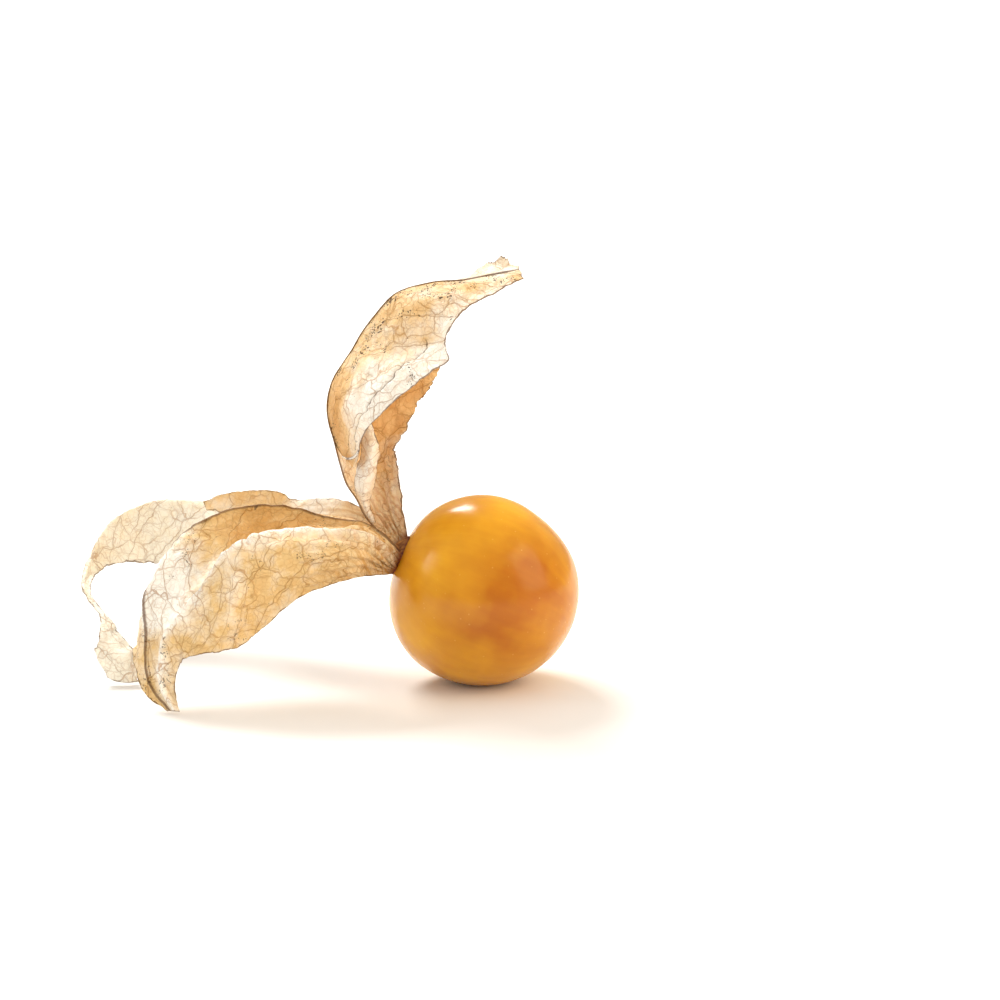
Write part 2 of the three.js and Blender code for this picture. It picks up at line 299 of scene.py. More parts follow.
def dried_stalk():
    """Dead calyx and stalk tissue: fibrous, matt, dark red-brown at the berry and straw-brown away."""
    material, tree = new_material("dried_stalk")
    place = add(tree, "ShaderNodeTexCoord")
    out = add(tree, "ShaderNodeVectorMath", {0: place.outputs["Object"], 1: BERRY_CENTRE},
              operation="DISTANCE")
    away = add(tree, "ShaderNodeMapRange", {"Value": out.outputs["Value"],
                                            "From Min": BERRY_RADIUS - 0.4 * MM,
                                            "From Max": BERRY_RADIUS + 1.8 * MM})
    fibre_place = add(tree, "ShaderNodeVectorMath", {0: place.outputs["Object"], 1: (400, 4000, 4000)},
                      operation="MULTIPLY")
    fibres = add(tree, "ShaderNodeTexNoise", {"Vector": fibre_place.outputs["Vector"], "Scale": 1.0,
                                              "Detail": 5.0})
    mixed = add(tree, "ShaderNodeMath", {0: away.outputs["Result"], 1: fibres.outputs["Fac"]},
                operation="ADD")
    colour = add(tree, "ShaderNodeValToRGB", {"Fac": mixed.outputs["Value"]})
    colour.color_ramp.elements[0].position = 0.45
    colour.color_ramp.elements[0].color = linear("#561F0C")
    colour.color_ramp.elements[1].position = 1.0
    colour.color_ramp.elements[1].color = linear("#B9823F")
    bumps = add(tree, "ShaderNodeBump", {"Strength": 0.6, "Distance": 0.1 * MM,
                                         "Height": fibres.outputs["Fac"]})
    skin = add(tree, "ShaderNodeBsdfPrincipled", {"Base Color": colour.outputs["Color"], "Roughness": 0.8,
                                                  "Normal": bumps.outputs["Normal"]})
    add(tree, "ShaderNodeOutputMaterial", {"Surface": skin.outputs["BSDF"]})
    return material


stalk_bark = dried_stalk()
to_stem = STEM_DIRECTION.to_track_quat("Z", "Y").to_matrix()
bm = bmesh.new()
points = [bm.verts.new((out * MM, 0, along * MM)) for out, along in COLLAR_PROFILE]
profile = [bm.edges.new(pair) for pair in zip(points, points[1:])]
bmesh.ops.spin(bm, geom=points + profile, cent=(0, 0, 0), axis=(0, 0, 1), angle=2 * math.pi,
               steps=COLLAR_SEGMENTS, use_merge=True)
bmesh.ops.remove_doubles(bm, verts=bm.verts, dist=1e-6)
bmesh.ops.recalc_face_normals(bm, faces=bm.faces)
for vert in bm.verts:
    turn = math.atan2(vert.co.y, vert.co.x)
    swell = 1 + COLLAR_LOBE_DEPTH * math.cos(COLLAR_LOBES * turn)
    vert.co.x *= swell
    vert.co.y *= swell
bmesh.ops.transform(bm, matrix=Matrix.Translation(BERRY_CENTRE) @ to_stem.to_4x4(), verts=bm.verts)
new_piece("calyx_collar", bm, stalk_bark, "dried_stalk", "stalk")


def through(points, steps):
    """Places at even steps on the smooth curve through points, or on a row of such curves at once."""
    last = len(points) - 1
    guide = np.concatenate(([2 * points[0] - points[1]], points, [2 * points[last] - points[last - 1]]))
    at = np.linspace(0, last, steps + 1)
    first = np.minimum(at.astype(int), last - 1)
    t = (at - first).reshape(-1, *[1] * (points.ndim - 1))
    a, b, c, d = (guide[first + k] for k in range(4))
    return b + t / 2 * (c - a + t * (2 * a - 5 * b + 4 * c - d + t * (3 * b - a - 3 * c + d)))


bm = bmesh.new()
spine = [Vector(place) * MM for place in through(np.array(STALK_PATH, float), 24)]
ring = bmesh.ops.create_circle(bm, cap_ends=True, segments=20, radius=STALK_RADIUS * MM)["verts"]
for vert in ring:
    vert.co *= 1 + 0.12 * math.cos(STALK_RIBS * math.atan2(vert.co.y, vert.co.x))
bmesh.ops.rotate(bm, verts=ring, matrix=(spine[1] - spine[0]).to_track_quat("Z", "Y").to_matrix())
bmesh.ops.translate(bm, verts=ring, vec=spine[0])
for here, there in zip(spine, spine[1:]):
    end = [face for face in bm.faces if all(vert in ring for vert in face.verts)]
    grown = bmesh.ops.extrude_face_region(bm, geom=end, use_keep_orig=here is spine[0])["geom"]
    ring = [part for part in grown if isinstance(part, bmesh.types.BMVert)]
    bmesh.ops.translate(bm, verts=ring, vec=there - here)
bmesh.ops.recalc_face_normals(bm, faces=bm.faces)
new_piece("stalk_stub", bm, stalk_bark, "dried_stalk", "stalk")

# ---- Husk: upright lobe ----
# The dry calyx, a papery lantern with raised veins, torn into lobes and peeled back. This lobe
# stands on a pleated neck and curls over to the right: a near blade, a far blade and a neck fold.

# Millimetres: the sheet's thickness, how far from the berry's centre it grows, the height and half
# width of its midrib, how fast the pleats of its base fade, the size of its folds and of the
# crumples on them, and a distance that means that no midrib or strong vein is near.
HUSK_THICKNESS = 0.12
HUSK_ROOT = 9.15
RIB_HEIGHT = 0.25
RIB_WIDTH = 0.28
PLEATS_FADE = 7
FOLD_SIZE = 2.8
CRUMPLE_SIZE = 0.8
NO_CORD = 99.0
# A cord is a midrib or strong vein: its rail, the shares of the length where it starts and ends, how
# far it wanders and how much thinner than a midrib it is.
MIDRIB = (0, 0.0, 1.0, 0.0, 0.0)
# Nets of points in millimetres: a row for each station from the calyx to the tip.
# near blade: midrib, crease, middle, strong vein, near edge
UPRIGHT_NEAR_BLADE = [
    [(-13, -0.5, 22.25), (-13, -1.25, 22.25), (-12.75, -1.75, 22.25), (-12.75, -2.25, 22.25),
     (-12.5, -2.5, 22.5)],
    [(-14.25, 0.25, 23.5), (-13, -2.25, 23.5), (-12.5, -3.25, 23.75), (-12.25, -3.75, 24),
     (-12, -4.25, 24.5)],
    [(-15.25, 1, 25.75), (-13, -3, 25.5), (-12.25, -4.25, 25.75), (-11.75, -5, 26), (-11.5, -5.5, 26.5)],
    [(-15.5, 1.25, 28), (-13.25, -3.5, 27.25), (-12.25, -4.75, 27.75), (-11.25, -6, 28), (-10, -7, 28.25)],
    [(-15, 1, 30.25), (-13, -3.75, 29.5), (-11.75, -5, 29.75), (-10.5, -6.5, 29.75), (-8.25, -7.75, 30)],
    [(-14, 0.75, 32), (-12.25, -3.5, 31), (-11, -4.75, 31.25), (-9.25, -6.5, 31.5), (-6.5, -8, 31.5)],
    [(-13, 0.75, 33.5), (-11, -3.5, 32.75), (-9.5, -4.5, 32.75), (-7.5, -6.25, 33), (-4.75, -7.75, 32.75)],
    [(-12, 0.5, 35.25), (-9.5, -3, 34.25), (-7.75, -4.25, 34.25), (-5.75, -5.5, 34.25), (-3.25, -7, 33.75)],
    [(-10.5, 0.5, 37.25), (-8.25, -2.5, 36.5), (-6.75, -3.5, 35.75), (-5, -4.5, 35.25), (-3.5, -5.5, 35.25)],
    [(-8.5, 0.5, 39.25), (-6.75, -2.25, 38.5), (-5.5, -3, 37.75), (-4.25, -3.75, 37), (-2.75, -4.75, 37)],
    [(-5.25, 0.5, 40.25), (-4.25, -1.5, 39.5), (-3.25, -2.5, 39.25), (-2.25, -3.25, 38.75),
     (-1.25, -4, 38.5)],
    [(-2, 0.5, 40.5), (-1.25, -1.25, 40.25), (-0.75, -2, 39.75), (0, -2.5, 39.5), (0.75, -3.25, 39.5)],
    [(0.75, 0.5, 41), (1.25, -0.5, 40.75), (1.75, -1, 40.75), (2, -1.5, 40.5), (2.5, -2.25, 40.25)],
    [(3.5, 0.5, 41.5), (3.5, 0.25, 41.5), (3.75, -0.25, 41.25), (3.75, -0.5, 41), (4, -1, 40.75)],
]
# far blade and neck: outer edge and midrib, two rails inside, far edge
UPRIGHT_FAR_BLADE = [
    [(-9.25, 0.5, 13.5), (-9, 1.25, 13.75), (-8.5, 1.5, 14), (-7.75, 1, 14.5)],
    [(-11.5, 1.75, 16), (-10.5, 3, 16), (-9.25, 3.5, 16.25), (-8, 2.5, 16.75)],
    [(-12.75, 2, 18.25), (-11.5, 3.75, 17.75), (-10, 4.5, 17.75), (-8.25, 3.25, 18.75)],
    [(-13.75, 2.25, 19.75), (-12.25, 4.25, 19.5), (-10.5, 5.5, 19.5), (-8.5, 4, 20.75)],
    [(-14.25, 1.25, 21.75), (-12.75, 4.5, 21.5), (-10.5, 6, 21.5), (-8.75, 4.75, 22.5)],
    [(-14.75, 0.3, 24.25), (-12.75, 5, 24), (-10.25, 6.5, 23.75), (-8, 5.75, 24)],
    [(-15.5, 0.9, 27.5), (-12.75, 5.25, 26.75), (-9.5, 6.5, 26.25), (-6.5, 6.5, 26.25)],
    [(-14.9, 0.7, 30.5), (-11.5, 5, 29.25), (-8, 6.5, 28.25), (-4.5, 6.5, 28.75)],
    [(-13.15, 0.5, 33.25), (-10, 4.5, 32.25), (-6.5, 6.25, 31), (-3.5, 6.5, 31)],
    [(-11.25, 0.3, 36.25), (-8, 4.25, 35), (-5.5, 5.5, 34), (-3.75, 5.75, 33.5)],
    [(-8.75, 0.3, 39), (-6, 3.75, 38.25), (-4.25, 5, 37.5), (-2.75, 5.25, 36.25)],
    [(-5.25, 0.3, 40.25), (-4, 2.75, 39.5), (-2.75, 3.75, 39.25), (-1.5, 4, 38.75)],
    [(-2, 0.3, 40.5), (-1.25, 1.75, 40.75), (-0.75, 2.5, 41), (-0.25, 3, 41.5)],
    [(0.75, 0.3, 41), (1.25, 1.5, 41.5), (1.5, 2.25, 42), (1.75, 2.5, 42.75)],
    [(3.5, 0.3, 41.5), (3.5, 1.25, 41.75), (3.5, 1.5, 41.75), (3.5, 1.75, 42)],
]
# a pleat of the neck that has come loose: left edge, ridge, right edge
UPRIGHT_NECK_FOLD = [
    [(-11, 0.25, 16), (-11, 0, 16.25), (-10.75, 0.25, 16.25)],
    [(-12.25, -0.25, 18.25), (-11.75, -1, 18.25), (-11.25, -0.5, 18.25)],
    [(-12.75, -0.5, 20.25), (-11.75, -1.75, 20.5), (-10.75, -0.75, 20.5)],
    [(-12.5, -1, 22.25), (-11.25, -2.5, 22.75), (-10.5, -1.25, 22.5)],
    [(-12, -1.5, 23.75), (-11, -2.5, 24.25), (-10.25, -1.75, 24.25)],
    [(-12.25, -2, 27), (-11.5, -2.5, 27.5), (-11.25, -2.25, 27.5)],
]


def husk_paper(name, bleached, tan, brown, veins_show=0.7, mould=0.5, seen_through=0.25):
    """Dried calyx tissue: papery, half see-through, bleached to brown by age and by painted light and shade,
    with a net of amber veins, fine fibres at its base, a dark midrib and rims, and specks of sooty mould."""
    material, tree = new_material(name)
    at = add(tree, "ShaderNodeUVMap", uv_map="husk")
    edge = add(tree, "ShaderNodeAttribute", attribute_name="edge")
    tone = add(tree, "ShaderNodeAttribute", attribute_name="tone")
    from_cord = add(tree, "ShaderNodeAttribute", attribute_name="cord")
    space = add(tree, "ShaderNodeTexCoord")
    here = add(tree, "ShaderNodeVectorMath", {0: space.outputs["Object"], "Scale": 1 / MM},
               operation="SCALE")
    wander = add(tree, "ShaderNodeTexNoise", {"Vector": here.outputs["Vector"], "Scale": 0.6, "Detail": 2.5})
    centred = add(tree, "ShaderNodeVectorMath", {0: wander.outputs["Color"], 1: (0.5, 0.5, 0.5)},
                  operation="SUBTRACT")
    shift = add(tree, "ShaderNodeVectorMath", {0: centred.outputs["Vector"], "Scale": 1.7},
                operation="SCALE")
    wavy = add(tree, "ShaderNodeVectorMath", {0: at.outputs["UV"], 1: shift.outputs["Vector"]},
               operation="ADD")
    wavy_here = add(tree, "ShaderNodeVectorMath", {0: here.outputs["Vector"], 1: shift.outputs["Vector"]},
                    operation="ADD")
    split = add(tree, "ShaderNodeSeparateXYZ", {"Vector": wavy.outputs["Vector"]})
    straight = add(tree, "ShaderNodeSeparateXYZ", {"Vector": at.outputs["UV"]})

    # Nets of veins: cell size and half width in millimetres, and how strongly they show.
    veins = None
    for cell, width, show in ((3.2, 0.075, 0.85), (1.4, 0.045, 0.55), (0.55, 0.032, 0.34)):
        net = add(tree, "ShaderNodeTexVoronoi", {"Vector": wavy_here.outputs["Vector"], "Scale": 1 / cell},
                  feature="DISTANCE_TO_EDGE")
        line = add(tree, "ShaderNodeMapRange", {"Value": net.outputs["Distance"],
                                                "From Min": 0.3 * width / cell, "From Max": width / cell,
                                                "To Min": show, "To Max": 0.0})
        if veins is None:
            veins = line.outputs["Result"]
        else:
            veins = add(tree, "ShaderNodeMath", {0: veins, 1: line.outputs["Result"]},
                        operation="MAXIMUM").outputs["Value"]
    patchy = add(tree, "ShaderNodeTexNoise", {"Vector": here.outputs["Vector"], "Scale": 0.35,
                                              "Detail": 2.0})
    fading = add(tree, "ShaderNodeMapRange", {"Value": patchy.outputs["Fac"], "From Min": 0.35,
                                              "From Max": 0.6, "To Min": 0.45, "To Max": 1.0})
    veins = add(tree, "ShaderNodeMath", {0: veins, 1: fading.outputs["Result"]},
                operation="MULTIPLY").outputs["Value"]

    # Side veins leave the midrib every 5 mm and bend towards the tip.
    off_rib = add(tree, "ShaderNodeMath", {0: split.outputs["X"]}, operation="ABSOLUTE")
    slant = add(tree, "ShaderNodeMath", {0: off_rib.outputs["Value"], 1: -0.9, 2: split.outputs["Y"]},
                operation="MULTIPLY_ADD")
    spaced = add(tree, "ShaderNodeMath", {0: slant.outputs["Value"], 1: 2.5}, operation="PINGPONG")
    side_vein = add(tree, "ShaderNodeMapRange", {"Value": spaced.outputs["Value"], "From Min": 0.03,
                                                 "From Max": 0.1, "To Min": 0.85, "To Max": 0.0})
    veins = add(tree, "ShaderNodeMath", {0: veins, 1: side_vein.outputs["Result"]},
                operation="MAXIMUM").outputs["Value"]

    # Fibres run along the base and fade out over the first 13 mm.
    lengthwise = add(tree, "ShaderNodeVectorMath", {0: wavy.outputs["Vector"], 1: (2.6, 0.1, 1.0)},
                     operation="MULTIPLY")
    fibres = add(tree, "ShaderNodeTexNoise", {"Vector": lengthwise.outputs["Vector"], "Scale": 1.0,
                                              "Detail": 4.0}, noise_dimensions="2D")
    near_base = add(tree, "ShaderNodeMapRange", {"Value": straight.outputs["Y"], "From Min": 2.0,
                                                 "From Max": 13.0, "To Min": 1.0, "To Max": 0.0},
                    interpolation_type="SMOOTHSTEP")

    # The tissue's tone, bleached to brown, with clouds a few millimetres across. The tone is partly its age
    # and partly painted shade and light from the tone tables: brown in hollows and shade, bleached where lit.
    clouds = add(tree, "ShaderNodeTexNoise", {"Vector": here.outputs["Vector"], "Scale": 0.4, "Detail": 6.0,
                                              "Roughness": 0.6})
    cloudy = add(tree, "ShaderNodeMapRange", {"Value": clouds.outputs["Fac"], "From Min": 0.3,
                                              "From Max": 0.7, "To Min": -0.2, "To Max": 0.2})
    age_and_shade = add(tree, "ShaderNodeMath", {0: tone.outputs["Fac"], 1: cloudy.outputs["Result"]}, operation="ADD")
    paper = add(tree, "ShaderNodeValToRGB", {"Fac": age_and_shade.outputs["Value"]})
    paper.color_ramp.elements[0].position = 0.08
    paper.color_ramp.elements[0].color = linear(bleached)
    paper.color_ramp.elements[1].position = 0.95
    paper.color_ramp.elements[1].color = linear(brown)
    paper.color_ramp.elements.new(0.5).color = linear(tan)
    base_tone = add(tree, "ShaderNodeMapRange", {"Value": fibres.outputs["Fac"], "From Min": 0.36,
                                                 "From Max": 0.62})
    base_paper = add(tree, "ShaderNodeMix", {"Factor": base_tone.outputs["Result"], "A": linear("#DDA860"),
                                             "B": linear("#FBE9BE")}, data_type="RGBA")
    base_show = add(tree, "ShaderNodeMath", {0: near_base.outputs["Result"], 1: 0.7}, operation="MULTIPLY")
    body = add(tree, "ShaderNodeMix", {"Factor": base_show.outputs["Value"], "A": paper.outputs["Color"],
                                       "B": base_paper.outputs["Result"]}, data_type="RGBA")
    scar = add(tree, "ShaderNodeMapRange", {"Value": straight.outputs["Y"], "From Min": 0.25,
                                            "From Max": 1.5, "To Min": 1.0, "To Max": 0.0})
    scarred = add(tree, "ShaderNodeMix", {"Factor": scar.outputs["Result"], "A": body.outputs["Result"],
                                          "B": linear("#8A3E14")}, data_type="RGBA")
    vein_show = add(tree, "ShaderNodeMath", {0: veins, 1: veins_show}, operation="MULTIPLY")
    veined = add(tree, "ShaderNodeMix", {"Factor": vein_show.outputs["Value"], "A": scarred.outputs["Result"],
                                         "B": linear("#B0762C")}, data_type="RGBA")

    # The midrib is a dark cord, and the free rim a dark line of uneven width up to 0.2 mm.
    rib = add(tree, "ShaderNodeMapRange", {"Value": from_cord.outputs["Fac"], "From Min": 0.13,
                                           "From Max": 0.25, "To Min": 0.85, "To Max": 0.0})
    frayed = add(tree, "ShaderNodeTexNoise", {"Vector": here.outputs["Vector"], "Scale": 1.1,
                                              "Detail": 3.0})
    rim_width = add(tree, "ShaderNodeMapRange", {"Value": frayed.outputs["Fac"], "From Min": 0.4,
                                                 "From Max": 0.7, "To Min": 0.02, "To Max": 0.2})
    in_rim = add(tree, "ShaderNodeMath", {0: edge.outputs["Fac"], 1: rim_width.outputs["Result"]},
                 operation="LESS_THAN")
    rim_show = add(tree, "ShaderNodeMath", {0: in_rim.outputs["Value"], 1: 0.8}, operation="MULTIPLY")
    dark_lines = add(tree, "ShaderNodeMath", {0: rim_show.outputs["Value"], 1: rib.outputs["Result"]},
                     operation="MAXIMUM")
    lined = add(tree, "ShaderNodeMath", {0: dark_lines.outputs["Value"], 1: min(1.0, 1.3 * veins_show)},
                operation="MULTIPLY")
    rimmed = add(tree, "ShaderNodeMix", {"Factor": lined.outputs["Value"], "A": veined.outputs["Result"],
                                         "B": linear("#6A4018")}, data_type="RGBA")

    # Mould: specks of 0.1 to 0.3 mm that gather in patches, most of them beside the midrib.
    specks = add(tree, "ShaderNodeTexVoronoi", {"Vector": wavy_here.outputs["Vector"], "Scale": 3.3})
    patches = add(tree, "ShaderNodeTexNoise", {"Vector": here.outputs["Vector"], "Scale": 0.5,
                                               "Detail": 4.0})
    off_midrib = add(tree, "ShaderNodeMath", {0: straight.outputs["X"]}, operation="ABSOLUTE")
    by_rib = add(tree, "ShaderNodeMapRange", {"Value": off_midrib.outputs["Value"], "From Min": 1.0,
                                              "From Max": 6.0, "To Min": 0.16 * mould, "To Max": 0.0})
    gathered = add(tree, "ShaderNodeMath", {0: patches.outputs["Fac"], 1: by_rib.outputs["Result"]},
                   operation="ADD")
    reach = add(tree, "ShaderNodeMapRange", {"Value": gathered.outputs["Value"], "From Min": 0.55,
                                             "From Max": 0.72, "To Min": 0.0, "To Max": 0.4})
    speck = add(tree, "ShaderNodeMath", {0: specks.outputs["Distance"], 1: reach.outputs["Result"]},
                operation="LESS_THAN")
    speck_show = add(tree, "ShaderNodeMath", {0: speck.outputs["Value"], 1: mould}, operation="MULTIPLY")
    mouldy = add(tree, "ShaderNodeMix", {"Factor": speck_show.outputs["Value"], "A": rimmed.outputs["Result"],
                                         "B": linear("#3A281B")}, data_type="RGBA")

    # Relief: the veins stand up, and the tissue between them is finely crumpled.
    crinkle = add(tree, "ShaderNodeTexNoise", {"Vector": here.outputs["Vector"], "Scale": 2.6, "Detail": 5.0,
                                               "Roughness": 0.65})
    relief = add(tree, "ShaderNodeMath", {0: veins, 1: 0.8, 2: crinkle.outputs["Fac"]},
                 operation="MULTIPLY_ADD")
    bumps = add(tree, "ShaderNodeBump", {"Strength": 0.8, "Distance": 0.12 * MM,
                                         "Height": relief.outputs["Value"]})
    paper_face = add(tree, "ShaderNodeBsdfPrincipled", {
        "Base Color": mouldy.outputs["Result"],
        "Roughness": 0.55,
        "Specular IOR Level": 0.25,
        "Normal": bumps.outputs["Normal"],
    })
    glow = add(tree, "ShaderNodeBsdfTranslucent", {"Color": mouldy.outputs["Result"],
                                                   "Normal": bumps.outputs["Normal"]})
    sheet = add(tree, "ShaderNodeMixShader", {"Fac": seen_through, 1: paper_face.outputs["BSDF"],
                                              2: glow.outputs["BSDF"]})
    add(tree, "ShaderNodeOutputMaterial", {"Surface": sheet.outputs["Shader"]})
    return material


def husk_sheet(name, net, tones, steps, material, node, midrib=0, cords=(), start=0.0, pleats=(0, 0.0),
               crumple=0.12, torn=(0.1, 0.1), crest=None, seed=0):
    """A thin sheet of husk on the smooth surface through a net of points. tones holds its tone at each
    point in tenths: its age and also painted shade and light. cords are its midrib and strong veins, and
    start is how far from the calyx it begins. pleats is their count and depth, crumple a depth and torn the
    raggedness of both sides, in millimetres. crest is a rail pinched into a sharp fold, painted bleached
    along its top as a highlight: the rail, its height and its width."""
    along, across = steps
    rails = len(net[0]) - 1
    points = np.array(net, float)
    centre = np.array(BERRY_CENTRE) / MM
    if start == 0:
        away = points[0] - centre
        points[0] = centre + away * (HUSK_ROOT / np.linalg.norm(away, axis=1, keepdims=True))
    surface = through(through(points, along).swapaxes(0, 1), across).swapaxes(0, 1)
    age_and_shade = np.array(tones, float)[:, :, None] / 10
    age_and_shade = through(through(age_and_shade, along).swapaxes(0, 1), across).swapaxes(0, 1)[:, :, 0]

    # Torn edges: each row is drawn in from its ends by an uneven amount.
    widths = np.linalg.norm(np.diff(surface, axis=1), axis=2)
    for i in range(along + 1):
        reach = np.concatenate(([0], np.cumsum(widths[i])))
        bites = []
        for side in (0, 1):
            drift = abs(noise.noise(Vector((i * 0.03, seed + 7.3 * side, 0))))
            bite = max(0, noise.noise(Vector((i * 0.12, seed + 9.1 * side, 3))))
            fray = abs(noise.noise(Vector((i * 0.5, seed + 5.7 * side, 6))))
            bite = torn[side] * min(1.0, 2 * i / along) * (drift + 0.8 * bite + 0.3 * fray)
            bites.append(min(bite, 0.3 * reach[-1]))
        wanted = np.linspace(bites[0], reach[-1] - bites[1], across + 1)
        surface[i] = np.stack([np.interp(wanted, reach, surface[i, :, k]) for k in range(3)], axis=1)

    gaps_across = np.linalg.norm(np.diff(surface, axis=1), axis=2)
    gaps_along = np.linalg.norm(np.diff(surface, axis=0), axis=2)
    x = np.concatenate((np.zeros((along + 1, 1)), np.cumsum(gaps_across, axis=1)), axis=1)
    y = np.concatenate((np.zeros((1, across + 1)), np.cumsum(gaps_along, axis=0)), axis=0)
    rib_column = round(midrib / rails * across)
    y = (y + y[:, rib_column:rib_column + 1]) / 2
    edge = np.minimum(np.minimum(x, x[:, -1:] - x), y[-1:] - y)
    fold = x - x[:, [round(crest[0] / rails * across)]] if crest else None
    cord = np.full_like(x, NO_CORD)
    for rail, first, last, wander, thinner in cords:
        line = x[:, [round(rail / rails * across)]].copy()
        for i in range(along + 1):
            bend = noise.noise(Vector((i * 0.04, rail, seed)))
            line[i] += wander * (bend + 0.4 * noise.noise(Vector((i * 0.17, rail, seed))))
            if not first <= i / along <= last:
                line[i] = NO_CORD
        cord = np.minimum(cord, abs(x - line) + thinner)
    x = x - x[:, rib_column:rib_column + 1]

    flow = np.gradient(surface, axis=0)
    span = np.gradient(surface, axis=1)
    normal = np.cross(flow, span)
    normal /= np.maximum(np.linalg.norm(normal, axis=2, keepdims=True), 1e-9)

    bm = bmesh.new()
    bmesh.ops.create_grid(bm, x_segments=along, y_segments=across, size=0.5)
    edge_layer = bm.verts.layers.float.new("edge")
    tone_layer = bm.verts.layers.float.new("tone")
    cord_layer = bm.verts.layers.float.new("cord")
    uv_layer = bm.loops.layers.uv.new("husk")
    key = {}
    for vert in bm.verts:
        i = round((vert.co.x + 0.5) * along)
        j = round((vert.co.y + 0.5) * across)
        key[vert] = (i, j)
        place = Vector(surface[i, j])
        base = math.exp(-(y[i, j] + start) / PLEATS_FADE) * min(1.0, edge[i, j] / 1.5)
        calm = min(1.0, y[i, j] / 3)
        slack = calm * min(1.0, 0.05 + abs(x[i, j]) / 2)
        folds = noise.turbulence(place / FOLD_SIZE + Vector((seed, 0, 0)), 3, True) - 0.5
        small = noise.noise(place / CRUMPLE_SIZE + Vector((0, seed, 0)))
        pleat = math.sin(2 * math.pi * pleats[0] * j / across + 1.5 * noise.noise(place / 5))
        lift = crumple * slack * (folds + 0.3 * small) + pleats[1] * pleat * base * calm
        lift += RIB_HEIGHT * calm * min(1.0, edge[i, j]) * math.exp(-(cord[i, j] / RIB_WIDTH) ** 2)
        pinch = 0.0
        if crest:
            pinch = calm * math.exp(-abs(fold[i, j]) / crest[2])
            lift += crest[1] * pinch
        vert.co = (place + Vector(normal[i, j]) * lift) * MM
        vert[edge_layer] = edge[i, j]
        # Along a crest the tone is pulled towards bleached: a painted highlight on the top of the fold.
        vert[tone_layer] = age_and_shade[i, j] * (1 - pinch)
        vert[cord_layer] = cord[i, j]
    for face in bm.faces:
        for loop in face.loops:
            i, j = key[loop.vert]
            loop[uv_layer].uv = (x[i, j], y[i, j] + start)
    piece = new_piece(name, bm, material, "husk_paper", node)
    wall = piece.modifiers.new("thickness", "SOLIDIFY")
    wall.thickness = HUSK_THICKNESS * MM
    wall.offset = 0
    return piece


# Tone of the tissue at the same points, in tenths: 0 bleached, 10 brown. It is partly the tissue's own age
# and partly painted light and shade: brown in the hollows, in the neck and on faces turned from the lamps,
# bleached on faces that the lamps light.
UPRIGHT_NEAR_AGE_AND_SHADE = [
    [7, 7, 6, 4, 3], [7, 7, 6, 3, 2], [7, 8, 6, 2, 1], [7, 8, 4, 1, 0], [6, 7, 2, 0, 0], [5, 5, 2, 0, 0],
    [5, 4, 2, 1, 0], [5, 4, 3, 1, 0], [5, 5, 4, 3, 2], [5, 5, 5, 4, 2], [5, 5, 4, 3, 2], [4, 4, 4, 3, 3],
    [3, 3, 3, 3, 2], [4, 4, 4, 4, 4],
]
UPRIGHT_FAR_AGE_AND_SHADE = [
    [5, 4, 4, 4], [3, 3, 3, 2], [2, 3, 3, 2], [2, 3, 4, 2], [2, 4, 4, 2], [4, 6, 6, 3], [6, 7, 8, 5],
    [6, 8, 8, 6], [6, 8, 8, 6], [5, 7, 7, 5], [5, 6, 7, 5], [4, 5, 6, 5], [3, 3, 3, 3], [2, 2, 2, 2],
    [2, 2, 2, 2],
]
UPRIGHT_FOLD_AGE_AND_SHADE = [[3, 3, 4], [2, 1, 3], [2, 1, 2], [2, 1, 2], [2, 1, 2], [2, 2, 2]]
# the rolled lip along the near blade's foot, a strip half a millimetre wide or less
UPRIGHT_CURL = [
    [(-12.1, -4.1, 24.6), (-12.1, -4.2, 24.45), (-12.15, -4.1, 24.3)],
    [(-12.5, -3.8, 23.9), (-12.5, -3.9, 23.75), (-12.5, -3.8, 23.6)],
    [(-13.2, -2.8, 23.4), (-13.2, -2.9, 23.3), (-13.2, -2.8, 23.2)],
    [(-13.9, -0.8, 23.2), (-13.9, -0.9, 23.1), (-13.9, -0.8, 23.05)],
]

upright_paper = husk_paper("husk_paper_upright", "#FFFBF0", "#F3D29A", "#DDA75E", mould=0.85)
shaded_paper = husk_paper("husk_paper_neck", "#FFFBF0", "#F3D29A", "#DDA75E", mould=0.3)
husk_sheet("upright_lobe_near_blade", UPRIGHT_NEAR_BLADE, UPRIGHT_NEAR_AGE_AND_SHADE, (240, 110), upright_paper,
           "husk_lobe_upright", cords=(MIDRIB, (3, 0.1, 0.62, 0.8, 0.1)), start=15, crumple=0.3,
           torn=(0.02, 0.25), seed=1)
husk_sheet("upright_lobe_far_blade", UPRIGHT_FAR_BLADE, UPRIGHT_FAR_AGE_AND_SHADE, (260, 110), shaded_paper,
           "husk_lobe_upright", cords=(MIDRIB,), pleats=(7, 0.35), crumple=0.3, torn=(0.02, 1.6),
           seed=2)
husk_sheet("upright_lobe_neck_fold", UPRIGHT_NECK_FOLD, UPRIGHT_FOLD_AGE_AND_SHADE, (90, 24), shaded_paper,
           "husk_lobe_upright", start=14, crumple=0.3, torn=(0.3, 0.3), seed=3)
husk_sheet("upright_lobe_curl", UPRIGHT_CURL, [[1, 1, 1]] * 4, (40, 4), upright_paper,
           "husk_lobe_upright", start=25, crumple=0.02, torn=(0.05, 0.05), seed=7)

# ---- Husk: front lobe ----
# The lobe that arches to the left like an upturned boat and rests on its pointed tip. Its near
# side is folded down along a sharp ridge.

